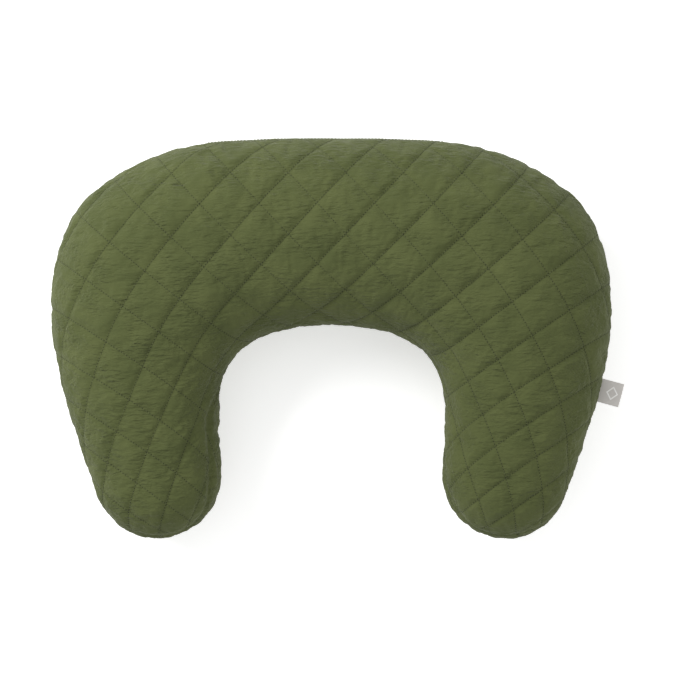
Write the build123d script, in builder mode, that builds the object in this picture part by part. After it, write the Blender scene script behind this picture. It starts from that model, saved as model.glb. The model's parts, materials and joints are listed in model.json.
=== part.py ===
"""A nursing pillow: a C-shaped stuffed insert inside a quilted, zipped cover.

It lies flat on its underside, with +Z up.  The gap between the arms, for the waist, faces -Y, and the zip
runs along X in the seam at the rear of the crown.  Every layer is the same C-shaped body drawn in by its
own inset, so the layers nest.  Pieces are placed from the pillow's middle plane, and keep() then sets them
down with the origin under the middle of the bounding box.
"""

import os
from math import hypot

from build123d import *

os.makedirs("parts", exist_ok=True)

# ---- driving dimensions, mm ----
ORIGIN_X = 7.8  # the box's middle, off the pillow's because the side label reaches past the right arm
SEAM_Z = 70.0  # height of the seam that joins the top and underside panels
SEAM_GAP = 1.4  # between the panels' sewn edges, where the side label is held
FLAT_SINK = 5.0  # how far the round underside would reach below the face that it rests on

# The ribs of the right half, from the middle of the crown to the root of the arm's round tip.
# Each is the inner edge (x, y), the outer edge (x, y) and the height of the section between them.
RIBS = (
    ((0, 14.5), (0, 214.5), 150),
    ((38, 11.5), (76, 213.4), 150),
    ((74, 1.8), (150, 206.8), 151),
    ((101, -16), (220, 180.5), 151),
    ((115.5, -39), (272, 138.5), 149),
    ((121.5, -64), (296, 78), 144),
    ((122.8, -90), (299.5, 13), 137),
    ((122, -113), (289.5, -53), 131),
    ((119.8, -130), (270, -113), 126),
    ((118.6, -137), (257.4, -155), 123),
)

# Insets of each layer's outer and inner faces from the cover's outside
FACE_LAYER = (0.0, 0.8)
WADDING_LAYER = (1.3, 3.3)
BACKING_LAYER = (3.8, 4.4)
CASING_LAYER = (5.4, 6.0)
FILLING_INSET = 6.6

# The zip is a size 5 coil chain.  Heights across it are measured up and down from the seam.
CHAIN_HALF_LENGTH = 115.0
TAPE_HALF_LENGTH = 134.0
TAPE_FACE_Y = 202.0  # the tapes' outer face, which the coils are sewn to
TAPE_THICKNESS = 0.7
TAPE_WIDTH = 14.0
CHAIN_GAP = 1.4  # between the two coils, where the slider's post runs
COIL_WIDTH = 2.4
COIL_DEPTH = 2.0
COIL_ROUNDING = 0.7
STOP_LENGTH = 3.0
STOP_GAP = 0.2
STOP_ROUNDING = 0.6
END_TAB_LENGTH = 15.0
END_TAB_THICKNESS = 0.6
TROUGH_HALF_LENGTH = 133.0  # the opening in the cover over the zip
TROUGH_HALF_HEIGHT = 7.0
DENT_Y = 197.6  # the insert's rear lies flat here behind the zip
DENT_HALF_LENGTH = 230.0  # room enough for the whole flat
CUT_DEPTH = 30.0  # how far the cuts for the trough and the flat run to the rear, past the body

SLIDER_X = 108.0  # the slider's middle when the zip is closed
SLIDER_LENGTH = 11.0
SLIDER_WIDTH = 9.8
SLIDER_TAIL_WIDTH = 8.8
GUIDE_SPACING = 6.9  # between the slider's side guides, which run outside the coils
PLATE_THICKNESS = 1.2
SLIDER_CLEARANCE = 0.45
POST_LENGTH = 3.6
POST_THICKNESS = 0.8
BAIL_LENGTH = 8.4
BAIL_WIDTH = 2.2
BAIL_THICKNESS = 1.2
PULL_CLEARANCE = 0.4
TRUNNION_RADIUS = 0.8
PULL_REACH = 24.0  # from the trunnion's axis to the pull's free end
PULL_WIDTH = 5.8
PULL_THICKNESS = 1.4
PULL_WINDOW = 5.4  # the window round the bail ends here
PULL_HOLE_RADIUS = 1.2

# The woven side label, a folded ribbon held in the right arm's seam
LABEL_PLACE = (290.5, -56.0)
LABEL_TURN = -15.0  # degrees from +X, square to the arm's edge
LABEL_REACH = 22.0
LABEL_TUCK = 7.0
LABEL_WIDTH = 25.5
LABEL_THICKNESS = 1.0
RIBBON_THICKNESS = 0.4
FOLD_RADIUS = 0.48

# The care labels lie flat between the zip and the insert
CARE_LABEL_Y = 198.3
CARE_LABEL_SIZE = (36.0, 0.3, 22.0)
COVER_CARE_LABEL_PLACE = (-55.0, 53.0)
INSERT_CARE_LABEL_PLACE = (45.0, 90.0)

TAPE_BACK_Y = TAPE_FACE_Y - TAPE_THICKNESS
COIL_FACE_Y = TAPE_FACE_Y + COIL_DEPTH
INNER_PLATE_Y = TAPE_BACK_Y - SLIDER_CLEARANCE - PLATE_THICKNESS
OUTER_PLATE_Y = COIL_FACE_Y + SLIDER_CLEARANCE
PLATE_FACE_Y = OUTER_PLATE_Y + PLATE_THICKNESS
TRUNNION_Y = PLATE_FACE_Y + PULL_CLEARANCE + TRUNNION_RADIUS
BAIL_CROWN_Y = TRUNNION_Y + TRUNNION_RADIUS + PULL_CLEARANCE
COIL_EDGE = CHAIN_GAP / 2 + COIL_WIDTH


def keep(piece, name):
    """Sets a finished piece down in the row's frame, labels it and writes its STEP file."""
    placed = piece.part.moved(Location((-ORIGIN_X, 0, 0)))
    placed.label = name
    export_step(placed, f"parts/{name}.step")


# ---- the C-shaped body ----
def mirrored_ribs():
    left = [((-ix, iy), (-ox, oy), height) for (ix, iy), (ox, oy), height in reversed(RIBS[1:])]
    return left + list(RIBS)


def rib_plane(rib):
    """The upright plane of a rib: its x runs from the inner to the outer edge, and its y is up."""
    (ix, iy), (ox, oy), _ = rib
    across = Vector(ox - ix, oy - iy, 0).normalized()
    middle = Vector((ix + ox) / 2, (iy + oy) / 2, 0)
    return Plane(origin=middle, x_dir=across, z_dir=across.cross(Vector(0, 0, 1)))


def rib_reaches(rib, inset):
    """Half the width of a rib's section, and its height above and depth below the seam."""
    (ix, iy), (ox, oy), height = rib
    return hypot(ox - ix, oy - iy) / 2 - inset, height - SEAM_Z - inset, SEAM_Z + FLAT_SINK - inset


def section(rib, inset):
    """The body's cross-section at a rib: a half ellipse above the seam and a deeper one below it."""
    reach, rise, depth = rib_reaches(rib, inset)
    with BuildSketch(rib_plane(rib)) as outline:
        with BuildLine():
            EllipticalCenterArc((0, SEAM_Z), reach, rise, start_angle=0, arc_size=180)
            EllipticalCenterArc((0, SEAM_Z), reach, depth, start_angle=180, arc_size=180)
        make_face()
    return outline.sketch


def outer_half_section(rib, inset):
    """The outer half of an end rib's section, which turned about the rib's middle makes the round tip."""
    reach, rise, depth = rib_reaches(rib, inset)
    with BuildSketch(rib_plane(rib)) as outline:
        with BuildLine():
            EllipticalCenterArc((0, SEAM_Z), reach, rise, start_angle=0, arc_size=90)
            Line((0, SEAM_Z + rise), (0, SEAM_Z - depth))
            EllipticalCenterArc((0, SEAM_Z), depth, reach, start_angle=0, arc_size=90, rotation=-90)
        make_face()
        with Locations((0, inset)):
            Rectangle(2 * reach, depth, align=(Align.CENTER, Align.MAX), mode=Mode.SUBTRACT)
    return outline.sketch


def pillow_body(inset, rear_limit=None):
    """The whole C-shaped body, drawn in by an inset, flat where it rests and behind the zip."""
    ribs = mirrored_ribs()
    with BuildPart() as body:
        for rib in ribs:
            add(section(rib, inset))
        loft()
        split(bisect_by=Plane.XY.offset(inset), keep=Keep.TOP)
        for rib, turn in ((ribs[0], 180), (ribs[-1], -180)):
            add(outer_half_section(rib, inset))
            revolve(axis=Axis(rib_plane(rib).origin, (0, 0, 1)), revolution_arc=turn)
        if rear_limit is not None:
            with Locations((0, rear_limit, SEAM_Z)):
                Box(
                    2 * DENT_HALF_LENGTH,
                    CUT_DEPTH,
                    SEAM_Z + FLAT_SINK,
                    align=(Align.CENTER, Align.MIN, Align.CENTER),
                    mode=Mode.SUBTRACT,
                )
    return body.part


def half_shell(outer, inner, top, trough=False):
    """One panel's layer: the room between two bodies, on one side of the seam."""
    side = 1 if top else -1
    seam = Plane.XY.offset(SEAM_Z + side * SEAM_GAP / 2)
    with BuildPart() as shell:
        add(outer)
        add(inner, mode=Mode.SUBTRACT)
        split(bisect_by=seam, keep=Keep.TOP if top else Keep.BOTTOM)
        if trough:
            with Locations((0, TAPE_BACK_Y, SEAM_Z)):
                Box(
                    2 * TROUGH_HALF_LENGTH,
                    CUT_DEPTH,
                    2 * TROUGH_HALF_HEIGHT,
                    align=(Align.CENTER, Align.MIN, Align.CENTER),
                    mode=Mode.SUBTRACT,
                )
    return shell


# ---- the cover's quilted panels: face fabric, wadding and backing ----
for layer, (outer_inset, inner_inset) in {
    "face": FACE_LAYER,
    "wadding": WADDING_LAYER,
    "backing": BACKING_LAYER,
}.items():
    outer_body = pillow_body(outer_inset)
    inner_body = pillow_body(inner_inset)
    keep(half_shell(outer_body, inner_body, top=True, trough=True), f"cover_top_{layer}")
    keep(half_shell(outer_body, inner_body, top=False, trough=True), f"cover_underside_{layer}")

# ---- the insert: a casing of two halves, and its fibre filling ----
casing_wall = CASING_LAYER[1] - CASING_LAYER[0]
casing_outside = pillow_body(CASING_LAYER[0], DENT_Y)
casing_inside = pillow_body(CASING_LAYER[1], DENT_Y - casing_wall)
keep(half_shell(casing_outside, casing_inside, top=True), "insert_casing_top")
keep(half_shell(casing_outside, casing_inside, top=False), "insert_casing_underside")

with BuildPart() as fibre_filling:
    add(pillow_body(FILLING_INSET, DENT_Y - FILLING_INSET + CASING_LAYER[0]))
keep(fibre_filling, "fibre_filling")

# ---- the zip's tapes and coils, one of each above the seam and one below ----
for place, side in (("upper", 1), ("lower", -1)):
    with BuildPart() as zip_tape:
        with Locations((0, TAPE_FACE_Y, SEAM_Z + side * (CHAIN_GAP + TAPE_WIDTH) / 2)):
            Box(
                2 * TAPE_HALF_LENGTH,
                TAPE_THICKNESS,
                TAPE_WIDTH,
                align=(Align.CENTER, Align.MAX, Align.CENTER),
            )
    keep(zip_tape, f"zip_tape_{place}")

    with BuildPart() as zip_coil:
        with BuildSketch(Plane.YZ.offset(-CHAIN_HALF_LENGTH)):
            with Locations((TAPE_FACE_Y + COIL_DEPTH / 2, SEAM_Z + side * (CHAIN_GAP + COIL_WIDTH) / 2)):
                RectangleRounded(COIL_DEPTH, COIL_WIDTH, COIL_ROUNDING)
        extrude(amount=2 * CHAIN_HALF_LENGTH)
    keep(zip_coil, f"zip_coil_{place}")

# ---- the chain's ends: a stop across the chain, a stop on each coil, and fabric tabs ----
with BuildPart() as zip_bottom_stop:
    with Locations((-CHAIN_HALF_LENGTH - STOP_GAP, TAPE_FACE_Y, SEAM_Z)):
        Box(STOP_LENGTH, COIL_DEPTH, 2 * COIL_EDGE, align=(Align.MAX, Align.MIN, Align.CENTER))
    fillet(zip_bottom_stop.faces().sort_by(Axis.Y)[-1].edges(), STOP_ROUNDING)
keep(zip_bottom_stop, "zip_bottom_stop")

with BuildPart() as zip_top_stops:
    for side in (1, -1):
        with Locations(
            (CHAIN_HALF_LENGTH + STOP_GAP, TAPE_FACE_Y, SEAM_Z + side * (CHAIN_GAP + COIL_WIDTH) / 2)
        ):
            Box(STOP_LENGTH, COIL_DEPTH, COIL_WIDTH, align=(Align.MIN, Align.MIN, Align.CENTER))
    fillet(zip_top_stops.faces().filter_by(Axis.Y).group_by(Axis.Y)[-1].edges(), STOP_ROUNDING)
keep(zip_top_stops, "zip_top_stops")

with BuildPart() as zip_end_tabs:
    with Locations(
        (TAPE_HALF_LENGTH - END_TAB_LENGTH / 2, TAPE_FACE_Y, SEAM_Z),
        (-TAPE_HALF_LENGTH + END_TAB_LENGTH / 2, TAPE_FACE_Y, SEAM_Z),
    ):
        Box(
            END_TAB_LENGTH,
            END_TAB_THICKNESS,
            CHAIN_GAP + 2 * TAPE_WIDTH,
            align=(Align.CENTER, Align.MIN, Align.CENTER),
        )
keep(zip_end_tabs, "zip_end_tabs")

# ---- the slider: two plates joined by a post, with guides beside the coils and a bail ----
slider_nose = SLIDER_X + SLIDER_LENGTH / 2
slider_tail = SLIDER_X - SLIDER_LENGTH / 2
with BuildPart() as zip_slider:
    for plate_y in (INNER_PLATE_Y, OUTER_PLATE_Y):
        with BuildSketch(Plane.XZ.offset(-plate_y)) as plate:
            with BuildLine():
                Polyline(
                    (slider_nose, SEAM_Z - SLIDER_WIDTH / 2),
                    (slider_nose, SEAM_Z + SLIDER_WIDTH / 2),
                    (SLIDER_X, SEAM_Z + SLIDER_WIDTH / 2),
                    (slider_tail, SEAM_Z + SLIDER_TAIL_WIDTH / 2),
                    (slider_tail, SEAM_Z - SLIDER_TAIL_WIDTH / 2),
                    (SLIDER_X, SEAM_Z - SLIDER_WIDTH / 2),
                    close=True,
                )
            make_face()
            fillet(plate.vertices().group_by(Axis.X)[0], PLATE_THICKNESS)
            fillet(plate.vertices().group_by(Axis.X)[-1], PLATE_THICKNESS)
        extrude(amount=-PLATE_THICKNESS)
    with BuildSketch(Plane.XZ.offset(-INNER_PLATE_Y)):
        with Locations((slider_nose - POST_LENGTH / 2 - PLATE_THICKNESS, SEAM_Z)):
            SlotOverall(POST_LENGTH, POST_THICKNESS)
    extrude(amount=-(PLATE_FACE_Y - INNER_PLATE_Y))
    guide_width = (SLIDER_TAIL_WIDTH - GUIDE_SPACING) / 2
    for side in (1, -1):
        with Locations(
            (SLIDER_X, TAPE_FACE_Y + SLIDER_CLEARANCE, SEAM_Z + side * (GUIDE_SPACING + guide_width) / 2)
        ):
            Box(
                SLIDER_LENGTH - 2 * PLATE_THICKNESS,
                OUTER_PLATE_Y - TAPE_FACE_Y - SLIDER_CLEARANCE,
                guide_width,
                align=(Align.CENTER, Align.MIN, Align.CENTER),
            )
    with BuildSketch(Plane.XY.offset(SEAM_Z)):
        with BuildLine():
            FilletPolyline(
                (SLIDER_X - BAIL_LENGTH / 2, PLATE_FACE_Y - BAIL_THICKNESS / 2),
                (SLIDER_X - BAIL_LENGTH / 2, BAIL_CROWN_Y + BAIL_THICKNESS),
                (SLIDER_X + BAIL_LENGTH / 2, BAIL_CROWN_Y + BAIL_THICKNESS),
                (SLIDER_X + BAIL_LENGTH / 2, PLATE_FACE_Y - BAIL_THICKNESS / 2),
                radius=BAIL_THICKNESS,
            )
            Line(
                (SLIDER_X + BAIL_LENGTH / 2, PLATE_FACE_Y - BAIL_THICKNESS / 2),
                (SLIDER_X - BAIL_LENGTH / 2, PLATE_FACE_Y - BAIL_THICKNESS / 2),
            )
        make_face()
    extrude(amount=BAIL_WIDTH / 2, both=True)
    with Locations((SLIDER_X, PLATE_FACE_Y, SEAM_Z)):
        Box(
            BAIL_LENGTH - 2 * BAIL_THICKNESS,
            BAIL_CROWN_Y - PLATE_FACE_Y,
            2 * BAIL_WIDTH,
            align=(Align.CENTER, Align.MIN, Align.CENTER),
            mode=Mode.SUBTRACT,
        )
keep(zip_slider, "zip_slider")

# ---- the pull: a tab with a window round the bail, hung on a trunnion under it ----
with BuildPart() as zip_pull:
    with BuildSketch(Plane.XZ.offset(-TRUNNION_Y + PULL_THICKNESS / 2)):
        with Locations((SLIDER_X - (PULL_REACH - PULL_WIDTH / 2) / 2, SEAM_Z)):
            SlotOverall(PULL_REACH + PULL_WIDTH / 2, PULL_WIDTH)
        with Locations((SLIDER_X + PULL_WIDTH, SEAM_Z)):
            Rectangle(2 * PULL_WIDTH, PULL_WIDTH, mode=Mode.SUBTRACT)
        with Locations((SLIDER_X, SEAM_Z)):
            Rectangle(2 * PULL_WINDOW, BAIL_WIDTH + 2 * PULL_CLEARANCE, mode=Mode.SUBTRACT)
        with Locations((SLIDER_X - PULL_REACH + PULL_WIDTH / 2, SEAM_Z)):
            Circle(PULL_HOLE_RADIUS, mode=Mode.SUBTRACT)
    extrude(amount=-PULL_THICKNESS)
    with BuildSketch(Plane.XY.offset(SEAM_Z)):
        with Locations((SLIDER_X, TRUNNION_Y)):
            Circle(TRUNNION_RADIUS)
    extrude(amount=PULL_WIDTH / 2, both=True)
keep(zip_pull, "zip_pull")

# ---- the side label: a ribbon folded at its outer end, its two ends held in the seam ----
label_plane = Plane(
    origin=(*LABEL_PLACE, SEAM_Z),
    x_dir=Vector(1, 0, 0).rotate(Axis.Z, LABEL_TURN),
    z_dir=Vector(0, -1, 0).rotate(Axis.Z, LABEL_TURN),
)
label_length = LABEL_REACH + LABEL_TUCK
with BuildPart() as side_label:
    with BuildSketch(label_plane):
        with Locations((-LABEL_TUCK, 0)):
            RectangleRounded(2 * label_length, LABEL_THICKNESS, FOLD_RADIUS)
            Rectangle(
                2 * (label_length - RIBBON_THICKNESS),
                LABEL_THICKNESS - 2 * RIBBON_THICKNESS,
                mode=Mode.SUBTRACT,
            )
            Rectangle(
                2 * label_length,
                2 * LABEL_THICKNESS,
                align=(Align.MAX, Align.CENTER),
                mode=Mode.SUBTRACT,
            )
    extrude(amount=LABEL_WIDTH / 2, both=True)
keep(side_label, "side_label")

# ---- the care labels ----
for name, (x, z) in {
    "care_label": COVER_CARE_LABEL_PLACE,
    "insert_care_label": INSERT_CARE_LABEL_PLACE,
}.items():
    with BuildPart() as flat_label:
        with Locations((x, CARE_LABEL_Y, z)):
            Box(*CARE_LABEL_SIZE)
    keep(flat_label, name)
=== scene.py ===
"""The nursing pillow's looks: quilted panels, thread, zip and labels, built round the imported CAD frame.

Everything is in metres in the row's frame.  The soft body is one closed grid that follows the C from the
crown round both tips.  Its upper and lower halves become the two quilted panels.
"""

import json
from math import cos, pi, radians, sin

import bmesh
import bpy
import numpy as np
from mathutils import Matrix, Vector


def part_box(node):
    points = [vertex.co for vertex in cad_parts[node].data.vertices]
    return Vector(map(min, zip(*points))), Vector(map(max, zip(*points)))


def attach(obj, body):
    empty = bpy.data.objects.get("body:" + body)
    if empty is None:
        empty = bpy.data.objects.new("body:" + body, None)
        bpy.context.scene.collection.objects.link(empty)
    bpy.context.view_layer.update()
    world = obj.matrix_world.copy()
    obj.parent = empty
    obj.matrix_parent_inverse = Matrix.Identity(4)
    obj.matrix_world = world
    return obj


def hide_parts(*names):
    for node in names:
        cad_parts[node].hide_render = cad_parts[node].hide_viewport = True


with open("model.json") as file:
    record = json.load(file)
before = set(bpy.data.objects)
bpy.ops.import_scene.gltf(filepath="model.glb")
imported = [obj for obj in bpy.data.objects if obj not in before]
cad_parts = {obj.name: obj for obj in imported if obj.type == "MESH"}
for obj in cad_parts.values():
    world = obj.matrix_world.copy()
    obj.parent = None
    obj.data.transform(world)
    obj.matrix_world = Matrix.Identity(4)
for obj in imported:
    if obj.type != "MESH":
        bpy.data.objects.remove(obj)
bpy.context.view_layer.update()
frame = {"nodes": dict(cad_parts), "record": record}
nodes = frame["nodes"]

# ---- where the CAD frame puts things ----
fill_low, fill_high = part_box("fibre_filling")
MIDDLE_X = (fill_low.x + fill_high.x) / 2  # the pillow's middle plane
face_low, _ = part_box("cover_top_face")
_, lower_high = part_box("cover_underside_face")
SEAM_Z = (face_low.z + lower_high.z) / 2
tape_low, tape_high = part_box("zip_tape_upper")
TAPE_FACE_Y = tape_high.y
TAPE_HALF_LENGTH = (tape_high.x - tape_low.x) / 2

# ---- the soft body's outline, from the pillow's middle plane, in metres ----
# The right half's ribs, from the middle of the crown to the arm: inner edge, outer edge, crest height
RIBS = (
    ((0.0, 0.0145), (0.0, 0.2145), 0.150),
    ((0.038, 0.0115), (0.076, 0.2134), 0.150),
    ((0.074, 0.0018), (0.150, 0.2068), 0.151),
    ((0.101, -0.016), (0.220, 0.1805), 0.151),
    ((0.1155, -0.039), (0.272, 0.1385), 0.149),
    ((0.1215, -0.064), (0.296, 0.078), 0.144),
    ((0.1228, -0.090), (0.2995, 0.013), 0.137),
    ((0.1218, -0.113), (0.2885, -0.053), 0.131),
    ((0.1199, -0.134), (0.270, -0.113), 0.126),
)
TIP_CENTRE = np.array((0.1876, -0.1468))
TIP_RADIUS = 0.0677
TIP_HEIGHT = 0.122
TIP_START = radians(-16.7)  # where the outer edge runs into the round tip
TIP_END = radians(-178.0)  # where the tip runs into the inner edge
UPPER_FULLNESS = 2.2  # exponent of the section above the seam: 2 is an ellipse, more is fuller
LOWER_FULLNESS = 2.5
LOWER_SINK = 1.07  # how much deeper than the floor the lower section would reach

COLUMNS_PER_SPAN = 29  # grid columns between two ribs
TIP_COLUMNS = 84
ROWS = 76

# ---- the quilting: a square lattice of seams that bends with the arms ----
# In units of 100 mm of the unrolled panel, p counts across and q counts up.
LATTICE_UNIT = 0.1
# The left arm's lines lean further over towards its tip: place, spread and shift in counts
LEFT_ARM_TURN = (((-0.255, -0.200), 0.055, 0.30), ((-0.220, -0.050), 0.060, -0.12))
UNDERSIDE_OFFSET = np.array((0.017, 0.004))  # the underside is cut from another part of the quilted cloth
P_SHIFT, P_ACROSS, P_NARROWING, P_NARROWING_2, P_EDGE = 3.25, 1.86, -0.239, 0.070, -0.0148
Q_SHIFT, Q_UP, Q_UP_2, Q_UP_3, Q_BOW, Q_BOW_UP = -3.32, 1.741, -0.042, -0.0221, 0.0611, -0.0396


# ---- noise ----
class Noise:
    """Smooth seeded noise in two dimensions, about -1 to 1."""

    def __init__(self, seed, size=256):
        source = np.random.RandomState(seed)
        angle = source.uniform(0, 2 * pi, (size, size))
        self.gx, self.gy, self.size = np.cos(angle), np.sin(angle), size

    def __call__(self, x, y):
        x0, y0 = np.floor(x).astype(int), np.floor(y).astype(int)
        fx, fy = x - x0, y - y0
        sx, sy = fx**3 * (fx * (fx * 6 - 15) + 10), fy**3 * (fy * (fy * 6 - 15) + 10)
        total = 0.0
        for i in (0, 1):
            for j in (0, 1):
                gx = self.gx[(x0 + i) % self.size, (y0 + j) % self.size]
                gy = self.gy[(x0 + i) % self.size, (y0 + j) % self.size]
                weight = (sx if i else 1 - sx) * (sy if j else 1 - sy)
                total = total + weight * (gx * (fx - i) + gy * (fy - j))
        return total * 1.5


def gauss(plan, place, size):
    return np.exp(-(((plan[..., 0] - place[0]) / size[0]) ** 2) - ((plan[..., 1] - place[1]) / size[1]) ** 2)


def smoothstep(low, high, x):
    t = np.clip((x - low) / (high - low), 0, 1)
    return t * t * (3 - 2 * t)


# ---- the soft body's grid ----
def smooth_curve(points, per_span):
    """A Catmull-Rom curve through points; the first lies on the pillow's middle plane."""
    points = np.asarray(points, float)
    before = points[1] * np.where(np.arange(points.shape[1]) == 0, -1, 1)
    chain = np.vstack([before, points, 2 * points[-1] - points[-2]])
    samples = []
    for k in range(1, len(chain) - 2):
        a, b, c, d = chain[k - 1 : k + 3]
        for t in np.arange(per_span) / per_span:
            samples.append(
                0.5
                * (2 * b + (c - a) * t + (2 * a - 5 * b + 4 * c - d) * t**2 + (3 * b - a - 3 * c + d) * t**3)
            )
    return np.array(samples + [points[-1]])


def around(angle):
    return TIP_CENTRE + TIP_RADIUS * np.array((cos(angle), sin(angle)))


def ring():
    """Columns round the whole body: each one's edge point, crest point and crest height."""
    inner = [(*rib[0], rib[2]) for rib in RIBS] + [(*around(TIP_END), TIP_HEIGHT)]
    outer = [(*rib[1], rib[2]) for rib in RIBS] + [(*around(TIP_START), TIP_HEIGHT)]
    middle = [((a[0] + b[0]) / 2, (a[1] + b[1]) / 2, a[2]) for a, b in zip(inner[:-1], outer[:-1])]
    middle.append((*TIP_CENTRE, TIP_HEIGHT))
    inner, outer, middle = (smooth_curve(line, COLUMNS_PER_SPAN) for line in (inner, outer, middle))
    tip = np.array([around(a) for a in np.linspace(TIP_START, TIP_END, TIP_COLUMNS + 1)[1:-1]])
    edge = np.vstack([outer[:, :2], tip, inner[::-1, :2]])
    crest = np.vstack([middle[:, :2], np.tile(TIP_CENTRE, (len(tip), 1)), middle[::-1, :2]])
    height = np.concatenate([middle[:, 2], np.full(len(tip), TIP_HEIGHT), middle[::-1, 2]])
    flip = np.array((-1, 1))
    edge = np.vstack([edge, (edge * flip)[-2:0:-1]])
    crest = np.vstack([crest, (crest * flip)[-2:0:-1]])
    height = np.concatenate([height, height[-2:0:-1]])
    shift = np.array((MIDDLE_X, 0))
    return edge + shift, crest + shift, height


def section(reach, rise, fullness):
    """A quarter section from the edge (reach, 0) to the crest (0, rise), as points by arc length."""
    a = np.linspace(0, pi / 2, 240)
    return reach * np.cos(a) ** (2 / fullness), rise * np.sin(a) ** (2 / fullness)


ZIP_LIP = 0.0056  # half the gap between the fabric's lips over the zip
ZIP_LIP_ROUND = 0.0035
# Where the parallel lips start to close, and where they have closed, from the middle plane on each side.
# The left end stays open further, for the pull's reach when the zip is open.
ZIP_ENDS = {1: (0.121, 0.1325), -1: (0.1335, 0.1430)}
ZIP_LIP_LENGTH = 0.011


def zip_end(x):
    """The closing lips' start and end on this side of the middle plane, and the distance from it."""
    offset = x - MIDDLE_X
    return (*ZIP_ENDS[1 if offset > 0 else -1], abs(offset))


def with_lip(r, z, crest_y):
    """The section's lower end turned in as a rounded lip that reaches the zip's tape."""
    lip_r = np.interp(ZIP_LIP + ZIP_LIP_ROUND, np.abs(z), r)
    keep = np.abs(z) > ZIP_LIP + ZIP_LIP_ROUND
    side = np.sign(z[-1])
    a = np.linspace(0, pi / 2, 12)[::-1]
    bend_r = lip_r - ZIP_LIP_ROUND + ZIP_LIP_ROUND * np.sin(a)[::-1]
    bend_z = side * (ZIP_LIP + ZIP_LIP_ROUND - ZIP_LIP_ROUND * np.cos(a)[::-1])
    tape_r = TAPE_FACE_Y + 0.0004 - crest_y
    wall_r = np.linspace(tape_r, lip_r - ZIP_LIP_ROUND, 10)[:-1]
    wall_z = np.full(len(wall_r), side * ZIP_LIP)
    return np.concatenate([wall_r, bend_r, r[keep]]), np.concatenate([wall_z, bend_z, z[keep]])


def arc_lengths(r, z):
    return np.concatenate([[0], np.cumsum(np.hypot(np.diff(r), np.diff(z)))])


def resample(r, z, start, count):
    """The polyline past a start length at equal steps, and the arc length left to its far end."""
    length = arc_lengths(r, z)
    at = np.linspace(start, length[-1], count)
    return np.interp(at, length, r), np.interp(at, length, z), length[-1] - at


# Where the seam rises above the body's widest line: place (x, y), spread and rise along the section
SEAM_RISES = (
    ((-0.118, -0.085), 0.030, 0.028),
    ((-0.119, -0.125), 0.032, 0.020),
    ((-0.121, -0.165), 0.034, 0.022),
    ((-0.195, -0.2125), 0.060, 0.017),
    ((0.125, -0.175), 0.034, 0.014),
    ((0.200, -0.2125), 0.060, 0.020),
    ((0.262, 0.150), 0.034, 0.016),
)
SEAM_DIP = 0.002  # elsewhere the seam lies this far below the widest line


def seam_rise(place):
    """How far along the section the seam lies above the widest line at a point of the outline."""
    rise = -SEAM_DIP
    for (x, y), spread, height in SEAM_RISES:
        rise += height * np.exp(-((place[0] - MIDDLE_X - x) ** 2 + (place[1] - y) ** 2) / spread**2)
    return rise


def panel_sections(r_up, z_up, r_low, z_low, rise):
    """Both panels' sections from the seam inwards, with the seam moved up by a length along the section."""
    up, low = arc_lengths(r_up, z_up), arc_lengths(r_low, z_low)
    whole_r = np.concatenate([r_up[::-1], r_low[1:]])
    whole_z = np.concatenate([z_up[::-1], z_low[1:]])
    lower = resample(whole_r, whole_z, up[-1] - rise, ROWS + 1)
    upper = resample(whole_r[::-1], whole_z[::-1], low[-1] + rise, ROWS + 1)
    return upper, lower


def body_grid():
    """Positions, unrolled plan and distance from the seam, by column and row, for both panels."""
    edge, crest, height = ring()
    smooth_sections = []
    panels = [{"co": [], "plan": [], "seam": []} for _ in range(2)]
    zips = []
    for k in range(len(edge)):
        reach = np.hypot(*(edge[k] - crest[k]))
        direction = (edge[k] - crest[k]) / reach
        behind = direction[1] > 0.9 and edge[k][1] > 0.15
        weight = float(1 - smoothstep(*zip_end(edge[k][0]))) if behind else 0.0
        r_up, z_up = section(reach, height[k] - SEAM_Z, UPPER_FULLNESS)
        r_low, z_low = section(reach, -SEAM_Z * LOWER_SINK, LOWER_FULLNESS)
        z_low = np.maximum(z_low, -SEAM_Z)
        sections = panel_sections(r_up, z_up, r_low, z_low, seam_rise(edge[k]))
        if weight > 0:
            lipped = [
                resample(*with_lip(r, z, crest[k][1]), 0.0, ROWS + 1) for r, z in ((r_up, z_up), (r_low, z_low))
            ]
            sections = [
                tuple(a * (1 - weight) + b * weight for a, b in zip(plain, lip))
                for plain, lip in zip(sections, lipped)
            ]
        zips.append(weight)
        halves = ((r_up, z_up), (r_low, z_low))
        smooth_sections.append([(crest[k] + direction * r[:, None], SEAM_Z + z) for r, z in halves])
        for panel, (r, z, left), offset in zip(panels, sections, (0, UNDERSIDE_OFFSET)):
            plan = crest[k] + direction * left[:, None] - np.array((MIDDLE_X, 0)) + offset
            co = np.column_stack([crest[k][0] + direction[0] * r, crest[k][1] + direction[1] * r, SEAM_Z + z])
            panel["co"].append(co)
            panel["plan"].append(plan)
            panel["seam"].append(np.maximum(left[0] - left - weight * ZIP_LIP_LENGTH, 0))
    panels = [{key: np.array(value) for key, value in panel.items()} for panel in panels]
    return panels, np.array(zips), smooth_sections


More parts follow.
